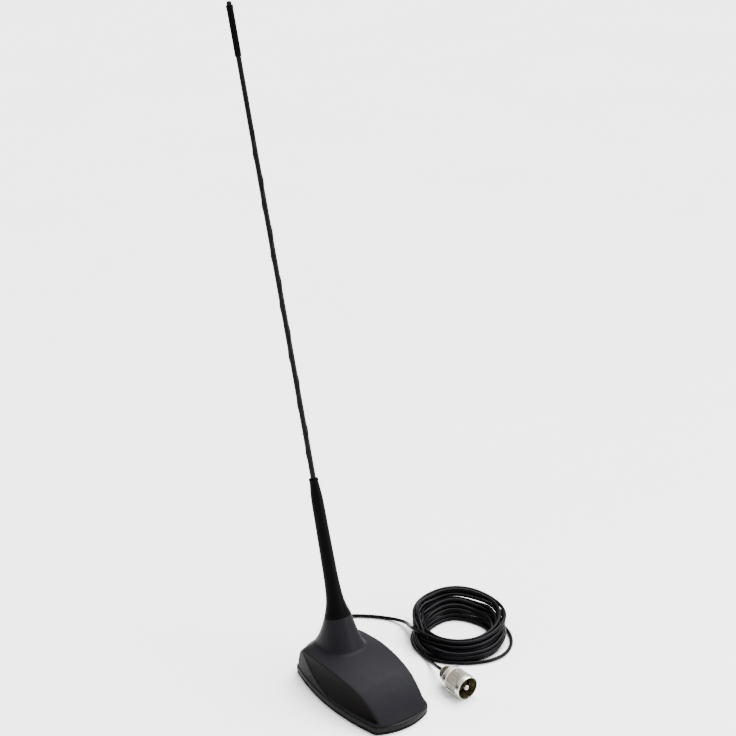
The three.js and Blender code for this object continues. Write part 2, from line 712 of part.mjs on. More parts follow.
// From the coil's side to the back of the plug.
const RUN_TO_PLUG = [
  [60.6, 12.6, 1.4], [60.3, 7.2, 1.4], [59.7, 2.6, 1.7], [58.4, -2.6, 3], [56.6, -8.2, 4.8],
  [54.5, -13.8, 7], [53.5, -17.8, 8.4], [53.1, -20.6, 8.75],
];

function routeCurve(points) {
  const route = points.map(([x, y, z]) => new THREE.Vector3(x, y, z));
  return new THREE.CatmullRomCurve3(route, false, 'centripetal');
}

// The loose turns are piled higher on one side of the coil than on the other.
function leaned(geometry) {
  const positions = geometry.attributes.position;
  for (let i = 0; i < positions.count; i++) {
    const along = positions.getX(i) * Math.cos(COIL_LEAN_HEADING)
      + positions.getY(i) * Math.sin(COIL_LEAN_HEADING);
    const drift = COIL_DRIFT * (positions.getZ(i) / COIL_HEIGHT - 0.35);
    positions.setX(i, positions.getX(i) + drift * Math.cos(COIL_LEAN_HEADING));
    positions.setY(i, positions.getY(i) + drift * Math.sin(COIL_LEAN_HEADING));
    positions.setZ(i, positions.getZ(i) * (1 + COIL_LEAN * along / COIL_OUTER));
  }
  geometry.computeVertexNormals();
  return geometry;
}

function buildCable() {
  piece('cable_to_coil', cableAlong(routeCurve(RUN_TO_COIL), 30), 'cable');
  const [inner, outer, top, round] = [COIL_INNER, COIL_OUTER, COIL_HEIGHT, 3.5];
  const coil = turned([
    [inner + 2, 0.05], [outer - 2, 0.05], [outer, 2], [outer, top - round],
    [outer - round, top], [inner + round, top], [inner, top - round], [inner, 2],
  ], 40);
  piece('cable_coil', leaned(coil).translate(COIL_CENTRE.x, COIL_CENTRE.y, 0), 'cable');
  piece('cable_to_plug', cableAlong(routeCurve(RUN_TO_PLUG), 8), 'cable');
}

// ---------------------------------------------------------------- plug

// Profiles are [radius, distance behind the ring's front edge].
function alongPlug(geometry) {
  return geometry.rotateX(-Math.PI / 2).translate(PLUG_X, PLUG_MOUTH, PLUG_Z);
}

function ringGeometry() {
  const grooves = [[2.4, 3.2], [14.6, 15.4]];
  const outside = [[RING_RADIUS - 0.6, 0], [RING_RADIUS, 0.6]];
  for (const [from, to] of grooves) {
    outside.push([RING_RADIUS, from], [RING_RADIUS - 0.35, from + 0.2]);
    outside.push([RING_RADIUS - 0.35, to - 0.2], [RING_RADIUS, to]);
  }
  outside.push([RING_RADIUS, RING_LENGTH - 0.8], [RING_RADIUS - 0.8, RING_LENGTH]);
  return turned([
    [RING_BORE + 0.3, 0], ...outside, [RING_NECK, RING_LENGTH], [RING_NECK, 13.5],
    [RING_BORE, 12.8], [RING_BORE, 0.4],
  ], 28);
}

function buildPlug() {
  piece('coupling_ring', alongPlug(ringGeometry()), 'nickel');
  const body = turned([
    [5.7, 7.2], [7.2, 7.2], [7.2, 10], [5.9, 10.6], [5.9, 18.6], [6.2, 18.9], [6.2, 21.5],
    [5.8, 21.9], [4.2, 21.9], [4.2, 12], [5.7, 11.6],
  ], 32);
  piece('plug_body', alongPlug(body), 'nickel');
  const insulator = tube(PIN_RADIUS + 0.1, 5.4, 7.6, 11.2, 28);
  piece('plug_insulator', alongPlug(insulator), 'phenolic');
  const pin = turned([
    [0, 0.6], [1.2, 0.6], [PIN_RADIUS, 1.6], [PIN_RADIUS, 16.6], [0, 16.6],
  ], 20);
  piece('plug_pin', alongPlug(pin), 'nickel');
  const reducer = turned([
    [1.7, 17], [3.9, 17], [3.9, 22.2], [4.9, 22.2], [4.9, 24.9], [4.5, 25.3], [1.7, 25.3],
  ], 28);
  piece('cable_reducer', alongPlug(reducer), 'nickel');
  const sleeve = turned([
    [0, 17.2], [1.45, 17.2], [1.45, 25.6], [2.1, 25.6], [1.75, 28.4], [0, 28.4],
  ], 16);
  piece('plug_sleeve', alongPlug(sleeve), 'rubber');
}

buildBase();
buildMagnets();
buildBoard();
buildFeed();
buildWhip();
buildLeadEntry();
buildCable();
buildPlug();

export default model;
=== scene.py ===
import json
import math

import bpy
import numpy as np
from mathutils import Matrix, Vector


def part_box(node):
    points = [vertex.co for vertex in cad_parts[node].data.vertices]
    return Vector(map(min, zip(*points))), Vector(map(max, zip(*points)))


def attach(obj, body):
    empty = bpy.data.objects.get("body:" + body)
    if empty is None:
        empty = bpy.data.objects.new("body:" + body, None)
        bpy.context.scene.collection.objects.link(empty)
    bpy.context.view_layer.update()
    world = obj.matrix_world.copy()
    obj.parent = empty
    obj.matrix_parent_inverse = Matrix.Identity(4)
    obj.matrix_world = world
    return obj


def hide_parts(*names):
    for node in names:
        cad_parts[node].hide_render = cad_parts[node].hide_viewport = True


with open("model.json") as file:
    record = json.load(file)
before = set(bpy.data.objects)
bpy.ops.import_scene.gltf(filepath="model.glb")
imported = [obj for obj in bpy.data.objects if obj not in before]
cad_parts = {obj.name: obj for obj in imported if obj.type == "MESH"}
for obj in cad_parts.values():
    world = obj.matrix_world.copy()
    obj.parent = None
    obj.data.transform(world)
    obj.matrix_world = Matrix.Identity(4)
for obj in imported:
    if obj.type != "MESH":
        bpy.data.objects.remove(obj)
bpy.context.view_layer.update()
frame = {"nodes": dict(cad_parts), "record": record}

# A magnetic mount whip antenna with its lead in a loose coil and a UHF plug on the lead's end.
# Shapes are worked out in millimetres, in the frame of the CAD model, and built in metres.
MM = 0.001
JOINTS = {joint["name"]: joint for joint in frame["record"]["behaviour"]["joints"]}

# Whip axis, from the joint that the whip turns on
SEAM = Vector(JOINTS["whip_turn"]["pos_m"]) / MM
WHIP_AXIS = Vector(JOINTS["whip_turn"]["axis"])
RAKE_SLOPE = WHIP_AXIS.y / WHIP_AXIS.z

# Plug axis, from the joint that the coupling ring spins on
PLUG_CENTRE = Vector(JOINTS["ring_spin"]["pos_m"]) / MM
PLUG_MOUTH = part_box("coupling_ring")[0][1] / MM

# Base
HALF_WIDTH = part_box("base_tray")[1][0] / MM
HALF_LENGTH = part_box("base_tray")[1][1] / MM
SIDE_RADIUS = 159
NOSE_RADIUS = 41
TAIL_RADIUS = 110
COVER_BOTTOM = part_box("base_cover")[0][2] / MM
TRAY_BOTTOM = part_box("base_tray")[0][2] / MM
TRAY_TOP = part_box("base_tray")[1][2] / MM
PAD_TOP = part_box("base_pad")[1][2] / MM
CROWN = 2.7
EDGE_HALF_WIDTH = 25.2
SEAM_RADIUS = 9.4
OUTLINE_POINTS = 360
FAR = 90.0  # further than any point of the base from a point inside it
HALVINGS = 34  # steps that narrow FAR down to the surface

# Side scoops
SCOOP_REAR = 39
SCOOP_DEEPEST = -15
SCOOP_DEPTH = 3.8
SCOOP_HOLLOW = 0.9
SCOOP_FOOT = 7.2
LEDGE = 0.8
TRIM_THICKNESS = 1.4
TRIM_FRONT = -43.6
TRIM_REAR = 33

# Lead
LEAD_RADIUS = 1.3
COIL_CENTRE = Vector((97.2, 15, 0))
COIL_TURNS = 17
COIL_STEPS = 72  # steps in a turn
COIL_START = 134  # heading in degrees, anticlockwise from +X
COIL_END = 180


# ---------------------------------------------------------------- small helpers

def smoothstep(low, high, value):
    share = np.clip((value - low) / (high - low), 0, 1)
    return share * share * (3 - 2 * share)


def soft_min(a, b, blend):
    reach = np.maximum(blend - np.abs(a - b), 0) / blend
    return np.minimum(a, b) - reach * reach * blend / 4


def soft_max(a, b, blend):
    return -soft_min(-a, -b, blend)


def smooth_line(points, count):
    """Evenly spaced points on a smooth curve through the given ones."""
    knots = np.array(points, dtype=float)
    knots = np.vstack([2 * knots[0] - knots[1], knots, 2 * knots[-1] - knots[-2]])
    line = []
    for p0, p1, p2, p3 in zip(knots, knots[1:], knots[2:], knots[3:]):
        for t in np.linspace(0, 1, 24, endpoint=False):
            line.append(0.5 * (2 * p1 + (p2 - p0) * t + (2 * p0 - 5 * p1 + 4 * p2 - p3) * t ** 2
                               + (3 * p1 - p0 - 3 * p2 + p3) * t ** 3))
    line.append(knots[-2])
    return evenly_spaced(np.array(line), count)


def evenly_spaced(line, count):
    steps = np.linalg.norm(np.diff(line, axis=0), axis=1)
    reached = np.concatenate([[0], np.cumsum(steps)])
    wanted = np.linspace(0, reached[-1], count)
    return np.stack([np.interp(wanted, reached, column) for column in line.T], axis=1)


def length_of(line):
    return float(np.linalg.norm(np.diff(line, axis=0), axis=1).sum())


def add_piece(name, points, faces, look, body="base", sharp=32):
    """A mesh piece from points in millimetres, shaded smooth up to the sharp angle in degrees."""
    mesh = bpy.data.meshes.new(name)
    mesh.from_pydata((np.asarray(points) * MM).tolist(), [], faces)
    mesh.validate()
    mesh.shade_smooth()
    mesh.set_sharp_from_angle(angle=math.radians(sharp))
    piece = bpy.data.objects.new(name, mesh)
    bpy.context.scene.collection.objects.link(piece)
    mesh.materials.append(look)
    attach(piece, body)
    return piece


def skin_faces(rows, columns, capped=True):
    """Faces of a closed skin over rows of points. It has a flat cap at each end, or else its
    last row joins on to its first."""
    faces = []
    for row in range(rows - 1 if capped else rows):
        start, after = row * columns, (row + 1) % rows * columns
        for column in range(columns):
            beside = (column + 1) % columns
            faces.append((start + column, start + beside, after + beside, after + column))
    if capped:
        faces.append(tuple(range(columns - 1, -1, -1)))
        faces.append(tuple(range((rows - 1) * columns, rows * columns)))
    return faces


def turned(name, profile, look, place, body="base", segments=96, relief=None, sharp=32):
    """A piece of revolution. profile is a list of (radius, height) that ends at its own start,
    or at the axis. relief(angle, height, radius) may raise or sink the surface. place maps the
    lathe's own axes into the model."""
    is_ring = math.dist(profile[0], profile[-1]) < 1e-6
    profile = np.array(profile[:-1] if is_ring else profile, dtype=float)
    angles = np.arange(segments) * 2 * math.pi / segments
    radius = np.repeat(profile[:, :1], segments, axis=1)
    height = np.repeat(profile[:, 1:], segments, axis=1)
    if relief:
        radius = radius + relief(angles[None, :], height, radius)
    rings = np.stack([radius * np.cos(angles), radius * np.sin(angles), height], axis=-1)
    points = placed(rings.reshape(-1, 3), place)
    faces = skin_faces(len(profile), segments, capped=not is_ring)
    return add_piece(name, points, faces, look, body, sharp)


def placed(points, place):
    matrix = np.array(place)
    return points @ matrix[:3, :3].T + matrix[:3, 3]


def finer(profile, step):
    """The same profile with extra points, so that relief has something to move."""
    result = [profile[0]]
    for before, after in zip(profile, profile[1:]):
        parts = max(1, math.ceil(math.dist(before, after) / step))
        for part in range(1, parts + 1):
            share = part / parts
            result.append(tuple(a + (b - a) * share for a, b in zip(before, after)))
    return result


WHIP_TURN = Vector((0, 0, 1)).rotation_difference(WHIP_AXIS)
ALONG_WHIP = Matrix.Translation(SEAM) @ WHIP_TURN.to_matrix().to_4x4()
ALONG_PLUG = (Matrix.Translation((PLUG_CENTRE.x, PLUG_MOUTH, PLUG_CENTRE.z))
              @ Matrix.Rotation(math.radians(-90), 4, "X"))


# ---------------------------------------------------------------- materials

class Look:
    """A material under construction: a shader and short ways to add nodes to it."""

    def __init__(self, name, colour, roughness, metallic=0.0, specular=0.5):
        self.material = bpy.data.materials.new(name)
        self.material.use_nodes = True
        self.tree = self.material.node_tree
        self.shader = self.tree.nodes["Principled BSDF"]
        self.shader.inputs["Base Color"].default_value = (*colour, 1)
        self.shader.inputs["Roughness"].default_value = roughness
        self.shader.inputs["Metallic"].default_value = metallic
        self.shader.inputs["Specular IOR Level"].default_value = specular
        self.place = self.tree.nodes.new("ShaderNodeTexCoord").outputs["Object"]

    def node(self, kind, **settings):
        node = self.tree.nodes.new(kind)
        for key, value in settings.items():
            setattr(node, key, value)
        return node

    def link(self, source, target):
        self.tree.links.new(source, target)

    def noise(self, scale, detail=3.0, stretch=(1, 1, 1)):
        """Noise with features about 1/scale metres across."""
        mapping = self.node("ShaderNodeMapping")
        mapping.inputs["Scale"].default_value = stretch
        self.link(self.place, mapping.inputs["Vector"])
        noise = self.node("ShaderNodeTexNoise")
        noise.inputs["Scale"].default_value = scale
        noise.inputs["Detail"].default_value = detail
        self.link(mapping.outputs["Vector"], noise.inputs["Vector"])
        return noise.outputs["Fac"]

    def spread(self, source, low, high, from_low=0.3, from_high=0.7):
        """source, stretched so that it runs from low to high."""
        spread = self.node("ShaderNodeMapRange")
        spread.inputs["From Min"].default_value = from_low
        spread.inputs["From Max"].default_value = from_high
        spread.inputs["To Min"].default_value = low
        spread.inputs["To Max"].default_value = high
        self.link(source, spread.inputs["Value"])
        return spread.outputs["Result"]

    def along(self, direction):
        """How far a point lies from the origin in a direction, in metres."""
        dot = self.node("ShaderNodeVectorMath", operation="DOT_PRODUCT")
        dot.inputs[1].default_value = direction
        self.link(self.place, dot.inputs[0])
        return dot.outputs["Value"]

    def sum(self, first, second):
        total = self.node("ShaderNodeMath", operation="ADD")
        self.link(first, total.inputs[0])
        self.link(second, total.inputs[1])
        return total.outputs["Value"]

    def vary_colour(self, source, stops):
        """Colours along source, from a list of (position, colour)."""
        ramp = self.node("ShaderNodeValToRGB")
        elements = ramp.color_ramp.elements
        while len(elements) < len(stops):
            elements.new(0.5)
        for element, (position, colour) in zip(elements, stops):
            element.position = position
            element.color = (*colour, 1)
        self.link(source, ramp.inputs["Fac"])
        self.link(ramp.outputs["Color"], self.shader.inputs["Base Color"])

    def two_tones(self, source, dark, light):
        self.vary_colour(source, [(0.3, dark), (0.7, light)])

    def vary_roughness(self, source, low, high):
        self.link(self.spread(source, low, high), self.shader.inputs["Roughness"])

    def bump(self, height, distance, strength=1.0):
        bump = self.node("ShaderNodeBump")
        bump.inputs["Distance"].default_value = distance
        bump.inputs["Strength"].default_value = strength
        self.link(height, bump.inputs["Height"])
        self.link(bump.outputs["Normal"], self.shader.inputs["Normal"])


def cover_look():
    """Grey plastic, with painted shade that darkens it low down at the left rear."""
    look = Look("cover_plastic", (0.0066, 0.0065, 0.008), 0.42, specular=0.02)
    # Painted shade: the colour darkens by position towards the left rear, low down.
    painted_shade = look.spread(look.along((-0.6, 0.6, -0.5)), 0, 1, 0.018, 0.029)
    mottle = look.spread(look.noise(60, 2), -0.1, 0.1)
    # The dark colour is the painted shade; light and middle are the plastic's own mottled tone.
    light, middle, dark = (0.0083, 0.0082, 0.0101), (0.0075, 0.0074, 0.0092), (0.0004, 0.0004, 0.0004)
    look.vary_colour(look.sum(painted_shade, mottle), [(0, light), (0.1, middle), (0.9, dark)])
    look.vary_roughness(look.noise(240, 4), 0.36, 0.46)
    look.bump(look.noise(3500, 2), 0.00002, 0.5)
    return look.material


def trim_look():
    look = Look("trim_plastic", (0.003, 0.0026, 0.0022), 0.34, specular=0.02)
    look.two_tones(look.noise(45, 2), (0.0012, 0.0009, 0.0008), (0.0022, 0.0017, 0.0014))
    look.vary_roughness(look.noise(160, 4), 0.28, 0.4)
    look.bump(look.noise(1800, 2), 0.00001, 0.3)
    return look.material


def tray_look():
    look = Look("tray_plastic", (0.012, 0.012, 0.0125), 0.45, specular=0.06)
    look.two_tones(look.noise(90, 2), (0.0045, 0.0045, 0.0048), (0.006, 0.006, 0.0064))
    look.vary_roughness(look.noise(400, 4), 0.4, 0.52)
    look.bump(look.noise(3000, 2), 0.00002, 0.5)
    return look.material


def rubber_look():
    look = Look("rubber", (0.003, 0.003, 0.0032), 0.7, specular=0.08)
    look.two_tones(look.noise(300, 4), (0.002, 0.002, 0.0022), (0.005, 0.005, 0.005))
    look.vary_roughness(look.noise(900, 4), 0.6, 0.8)
    look.bump(look.noise(2600, 3), 0.00004, 0.7)
    return look.material


def boot_look():
    look = Look("boot_rubber", (0.0042, 0.0038, 0.0042), 0.45, specular=0.02)
    look.two_tones(look.noise(70, 3), (0.0010, 0.0008, 0.0010), (0.0017, 0.0014, 0.0017))
    look.vary_roughness(look.noise(500, 4), 0.4, 0.52)
    look.bump(look.noise(2200, 3), 0.00003, 0.5)
    return look.material


def sleeve_look():
    look = Look("sleeve_plastic", (0.003, 0.003, 0.0032), 0.36, specular=0.07)
    look.two_tones(look.noise(200, 3), (0.0014, 0.0014, 0.0015), (0.0024, 0.0024, 0.0027))
    look.vary_roughness(look.noise(700, 4, (1, 1, 0.15)), 0.3, 0.45)
    look.bump(look.noise(2500, 2, (1, 1, 0.2)), 0.00002, 0.4)
    return look.material


def jacket_look():
    look = Look("cable_jacket", (0.001, 0.001, 0.0013), 0.3, specular=0.05)
    look.two_tones(look.noise(500, 4), (0.0007, 0.0006, 0.001), (0.0014, 0.0012, 0.002))
    look.vary_roughness(look.noise(900, 4), 0.24, 0.38)
    look.bump(look.noise(1800, 3), 0.00003, 0.5)
    return look.material


def nickel_look():
    """Satin plate, bright on the outside and on the pin, with painted shade between them: darker by
    distance from the plug's axis on the bore, the shell and the reducer, and in the knurl's grooves.
    """
    look = Look("nickel", (0.6, 0.57, 0.5), 0.3, metallic=1.0)
    mapping = look.node("ShaderNodeMapping")
    mapping.inputs["Location"].default_value = (-PLUG_CENTRE.x * MM, 0, -PLUG_CENTRE.z * MM)
    mapping.inputs["Scale"].default_value = (1, 0, 1)
    look.link(look.place, mapping.inputs["Vector"])
    length = look.node("ShaderNodeVectorMath", operation="LENGTH")
    look.link(mapping.outputs["Vector"], length.inputs[0])
    # Painted shade: the colour darkens between the pin and the ring's outside, by distance from the
    # plug's axis.
    off_axis = look.spread(length.outputs["Value"], 0, 1, 0, 0.01)
    mottle = look.spread(look.noise(1500, 4), -0.015, 0.015)
    # The bright colour is the plate's own. The others are painted shade: olive and near black inside
    # the ring and on the shell, and grey in the knurl's grooves.
    bright, groove = (0.6, 0.57, 0.5), (0.2, 0.185, 0.15)
    painted_bore_shade, dark = (0.08, 0.073, 0.052), (0.022, 0.019, 0.009)
    look.vary_colour(look.sum(off_axis, mottle), [
        (0.2, bright), (0.24, painted_bore_shade), (0.63, painted_bore_shade), (0.67, dark), (0.785, dark),
        (0.8, groove), (0.855, bright),
    ])
    look.vary_roughness(look.noise(1400, 4), 0.2, 0.38)
    look.bump(look.noise(2800, 3), 0.00001, 0.4)
    return look.material


def metal_look(name, dark, light, rough_low, rough_high, grain=900, stretch=(1, 1, 1)):
    look = Look(name, light, rough_low, metallic=1.0)
    look.two_tones(look.noise(grain / 6, 4), dark, light)
    look.vary_roughness(look.noise(grain, 4, stretch), rough_low, rough_high)
    look.bump(look.noise(grain * 2, 3, stretch), 0.00001, 0.4)
    return look.material


def moulded_look(name, dark, light, rough_low, rough_high):
    look = Look(name, light, rough_low)
    look.two_tones(look.noise(400, 4), dark, light)
    look.vary_roughness(look.noise(900, 3), rough_low, rough_high)
    look.bump(look.noise(2500, 3), 0.00003, 0.6)
    return look.material


def floor_look():
    look = Look("studio_floor", (0.92, 0.92, 0.92), 0.9, specular=0.0)
    look.two_tones(look.noise(6, 2), (0.91, 0.91, 0.91), (0.93, 0.93, 0.93))
    return look.material


LOOKS = {
    "cover_plastic": cover_look(),
    "trim_plastic": trim_look(),
    "tray_plastic": tray_look(),
    "rubber": rubber_look(),
    "boot_rubber": boot_look(),
    "sleeve_plastic": sleeve_look(),
    "cable_jacket": jacket_look(),
    "nickel": nickel_look(),
    "brass": metal_look("brass", (0.46, 0.32, 0.12), (0.62, 0.45, 0.19), 0.25, 0.4),
    "copper_wire": metal_look("copper_wire", (0.5, 0.22, 0.1), (0.72, 0.36, 0.2), 0.25, 0.4),
    "steel": metal_look("steel", (0.42, 0.42, 0.43), (0.58, 0.58, 0.6), 0.25, 0.4),
    "magnet": metal_look("magnet", (0.03, 0.03, 0.032), (0.06, 0.06, 0.063), 0.5, 0.7),
    "nylon": moulded_look("nylon", (0.7, 0.67, 0.6), (0.78, 0.76, 0.7), 0.45, 0.6),
    "glassfibre": moulded_look("glassfibre", (0.62, 0.58, 0.42), (0.7, 0.67, 0.52), 0.35, 0.5),
    "board": moulded_look("board", (0.012, 0.09, 0.04), (0.02, 0.12, 0.055), 0.35, 0.5),
    "phenolic": moulded_look("phenolic", (0.022, 0.016, 0.005), (0.045, 0.033, 0.011), 0.4, 0.6),
}


# ---------------------------------------------------------------- camera, lights and floor

def add_camera():
    camera = bpy.data.objects.new("camera", bpy.data.cameras.new("camera"))
    camera.data.lens = 87.24
    camera.data.sensor_width = 36
    camera.location = Vector((-611.4, -818.0, 717.0)) * MM
    downward, turned_right = 24.75, 37  # degrees, from level and from +Y
    camera.rotation_euler = (math.radians(90 - downward), 0, math.radians(-turned_right))
    camera.data.clip_end = 20
    bpy.context.scene.collection.objects.link(camera)
    bpy.context.scene.camera = camera


def aimed_light(name, kind, azimuth, elevation, distance, power):
    """A light aimed at the base. Azimuth 0 stands at -Y and 90 at +X."""
    lamp = bpy.data.lights.new(name, kind)
    lamp.energy = power
    light = bpy.data.objects.new(name, lamp)
    turn, rise = math.radians(azimuth), math.radians(elevation)
    direction = Vector((math.sin(turn), -math.cos(turn), math.tan(rise))).normalized()
    target = Vector((0.03, 0.03, 0.05))
    light.location = target + direction * distance
    light.rotation_euler = direction.to_track_quat("Z", "Y").to_euler()
    bpy.context.scene.collection.objects.link(light)
    return lamp


def add_studio():
    world = bpy.data.worlds.new("studio")
    world.use_nodes = True
    world.node_tree.nodes["Background"].inputs["Color"].default_value = (1, 1, 1, 1)
    world.node_tree.nodes["Background"].inputs["Strength"].default_value = 1.3
    bpy.context.scene.world = world
    sky = aimed_light("sky_panel", "SUN", 103, 63, 2, 11)
    sky.angle = math.radians(52)
    strip = aimed_light("right_front", "AREA", 32, 14, 1.2, 12)
    strip.size = 0.4


def add_floor():
    size = 6000
    corners = [(-size, -size, 0), (size, -size, 0), (size, size, 0), (-size, size, 0)]
    mesh = bpy.data.meshes.new("floor")
    mesh.from_pydata((np.array(corners) * MM).tolist(), [], [(0, 1, 2, 3)])
    floor = bpy.data.objects.new("floor", mesh)
    floor.location.z = -0.0001
    mesh.materials.append(floor_look())
    bpy.context.scene.collection.objects.link(floor)


# ---------------------------------------------------------------- lead

# Millimetres, the same points as in the CAD model.
RUN_TO_COIL = [
    (0, 58.3, 6.2), (0.5, 61.6, 6), (2.8, 64.8, 4.9), (6.8, 67.4, 3.1), (11.5, 69.4, 1.8),
    (17, 71.8, 1.35), (24, 76, 1.35), (31.6, 80.8, 1.35), (38.4, 84, 1.35), (45, 83.8, 1.35),
    (51.5, 80.6, 1.35), (59.1, 74.6, 1.35), (66.3, 67.4, 1.35), (70.7, 61.6, 1.5),
    (73.3, 56, 2.3), (74.3, 50.2, 3.4), (73.9, 45, 5), (72.6, 41, 6.4),
]
RUN_TO_PLUG = [
    (60.6, 12.6, 1.4), (60.3, 7.2, 1.4), (59.7, 2.6, 1.7), (58.4, -2.6, 3), (56.6, -8.2, 4.8),
    (54.5, -13.8, 7), (53.5, -17.8, 8.4), (53.1, -20.6, 8.75),
]

# Layers of the coil from the floor up, as (height, radius of the innermost turn, turns). The
# turns lie close together at the front, and the coil opens out like a bowl at the back.
FRONT_LAYERS = [(1.35, 28.2, 4), (3.9, 26.6, 4), (6.6, 24.9, 4), (9.3, 24.4, 3), (12, 24.9, 2)]
BACK_LAYERS = [(1.35, 21.4, 2), (4.1, 22.4, 3), (7, 24, 3), (9.8, 26, 3), (12.6, 28.8, 2),
               (15.4, 31.8, 2), (18.3, 34.6, 2)]
TURN_SPACING = 2.75

# Where the lead climbs on to the coil, and how its last turn lies loose: (heading, radius, height)
FIRST_TURN = [(134, 35.8, 6.4), (144, 33.4, 8.4), (157, 30.8, 11), (170, 30, 12.4)]
LAST_TURN = [
    (200, 35.7, 1.35), (240, 36.8, 1.35), (254, 37.8, 1.35), (264, 39.4, 1.35), (273, 40.8, 1.35),
    (285, 41.3, 1.35), (299, 40.5, 1.35), (315, 39.3, 1.35), (327, 37.4, 1.35), (350, 35, 1.35),
    (380, 31.5, 1.35), (470, 29.3, 1.35), (510, 33, 1.35), (528, 35.9, 1.4),
]
LAST_SPOT = (36.6, 1.4)


def resting_places(layers):
    """(radius, height) of each turn in one cross-section of the coil."""
    places = []
    for height, innermost, turns in layers:
        for i in range(turns):
            places.append((innermost + i * TURN_SPACING, height))
    return places


def winding_order():
    """Which resting place each turn takes. The winding climbs a layer a turn and drops back.
    The last turn isn't listed: it lies loose round the bottom layer."""
    top_outer, bottom_outer = COIL_TURNS - 1, FRONT_LAYERS[0][2] - 1
    between = [i for i in range(COIL_TURNS) if i not in (top_outer, bottom_outer)]
    step = 4
    return [top_outer] + [between[i * step % len(between)] for i in range(len(between))]


def knots_of_turn(at_front, at_back, lean):
    """One turn as (heading, (radius, height)): the front at 200 to 288, the right at 330, the
    back up to 462 with its highest part at the middle, and the left at 502."""
    # The bundle is drawn in at the left and spread at the right.
    at_left, at_right = (at_front + at_back) / 2, (at_front + at_back) / 2
    at_left[0] += 0.2 * (22 - at_left[0])
    at_right[0] += 0.35 * (at_right[0] - 26)
    return [(200, at_front), (250, at_front + (0.4 * lean, 0)), (288, at_front), (330, at_right),
            (374, at_back * (1, 0.86)), (398, at_back), (426, at_back + (lean, 0)),
            (462, at_back * (0.95, 0.86)), (502, at_left)]


def coil_targets():
    """Heading, radius and height that each step of the winding tends to, before it is packed."""
    front, back = resting_places(FRONT_LAYERS), resting_places(BACK_LAYERS)
    rng = np.random.default_rng(5)
    knots = list(FIRST_TURN)
    for turn, place in enumerate(winding_order()):
        at_front = np.array(front[place]) + rng.uniform(-0.5, 0.5, 2)
        at_back = np.array(back[place]) + rng.uniform(-0.4, 0.4, 2)
        lean = rng.uniform(-0.6, 0.6)
        for heading, spot in knots_of_turn(at_front, at_back, lean):
            knots.append((heading + 360 * turn, *spot))
    for heading, radius, height in LAST_TURN:
        knots.append((heading + 360 * (COIL_TURNS - 1), radius, height))
    knots = np.array(knots)
    steps = COIL_TURNS * COIL_STEPS + round((COIL_END - COIL_START) / 360 * COIL_STEPS)
    heading = COIL_START + np.arange(steps + 1) * 360 / COIL_STEPS
    radius = np.interp(heading, knots[:, 0], knots[:, 1])
    height = np.interp(heading, knots[:, 0], knots[:, 2])
    # The slit between two layers at the right of the back
    slit_heading, slit_spread = 24, 8
    parting = np.exp(-((heading % 360 - slit_heading) / slit_spread) ** 2)
    height += parting * np.interp(height, [1.35, 11.9, 12.9], [0, -4.2, 0])
    return np.radians(heading), radius, height


def pack_turns(radius, height):
    """Lets the turns settle on each other: stiff, a diameter apart and on the floor."""
    wanted = np.stack([radius, height], axis=1)
    spots = wanted.copy()
    count = len(spots)
    rows = math.ceil(count / COIL_STEPS)
    slots = rows * COIL_STEPS
    used = (np.arange(slots) < count).reshape(rows, COIL_STEPS)
    both = used[:, None, :] & used[None, :, :]
    for row in range(rows):
        both[row, row, :] = False
    apart = 2 * LEAD_RADIUS + 0.06
    steps, pulled_steps = 700, 600
    stiffness, pull, give = 0.9, 0.014, 0.4
    for step in range(steps):
        bend = np.zeros_like(spots)
        near, far = spots[1:-3] + spots[3:-1], spots[:-4] + spots[4:]
        bend[2:-2] = (4 * near - far - 6 * spots[2:-2]) / 16
        spots += stiffness * bend
        if step < pulled_steps:
            spots += pull * (wanted - spots)
        grid = np.full((slots, 2), 1e3)
        grid[:count] = spots
        grid = grid.reshape(rows, COIL_STEPS, 2)
        gap = grid[:, None] - grid[None, :]
        distance = np.linalg.norm(gap, axis=-1) + 1e-9
        overlap = np.where(both, np.maximum(apart - distance, 0), 0)
        push = (gap / distance[..., None] * overlap[..., None]).sum(axis=1) * give
        spots += push.reshape(slots, 2)[:count]
        spots[:, 1] = np.maximum(spots[:, 1], LEAD_RADIUS + 0.05)
        spots[0] = wanted[0]
        spots[-1] = LAST_SPOT
    return spots


def lead_path():
    angle, radius, height = coil_targets()
    spots = pack_turns(radius, height)
    coil = np.stack([
        COIL_CENTRE.x + spots[:, 0] * np.cos(angle),
        COIL_CENTRE.y + spots[:, 0] * np.sin(angle),
        spots[:, 1],
    ], axis=1)
    to_coil = smooth_line(RUN_TO_COIL, 90)
    to_plug = smooth_line(RUN_TO_PLUG, 30)
    whole = np.vstack([to_coil[:-3], coil[2:-2], to_plug[3:]])
    whole = evenly_spaced(whole, round(length_of(whole) / 1.3))
    for _ in range(6):
        whole[1:-1] += 0.25 * (whole[:-2] - 2 * whole[1:-1] + whole[2:])
    return whole


def tube_rings(path, radius, sides):
    """Rings round a path, carried along it without twist."""
    tangents = np.gradient(path, axis=0)
    tangents /= np.linalg.norm(tangents, axis=1, keepdims=True)
    across = np.cross(tangents[0], (0, 0, 1))
    rings = []
    angles = np.arange(sides) * 2 * math.pi / sides
    for point, tangent in zip(path, tangents):
        across = across - tangent * across.dot(tangent)
        across /= np.linalg.norm(across)
        up = np.cross(tangent, across)
        ring = np.outer(np.cos(angles), across) + np.outer(np.sin(angles), up)
        rings.append(point + radius * ring)
    return np.vstack(rings)


def add_lead(plug_pieces):
    path = lead_path()
    sides = 12
    points = tube_rings(path, LEAD_RADIUS, sides)
    lead = add_piece("lead", points, skin_faces(len(path), sides), LOOKS["cable_jacket"])
    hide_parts("cable_to_coil", "cable_coil", "cable_to_plug")
    length = length_of(path) * MM


# ---------------------------------------------------------------- plug

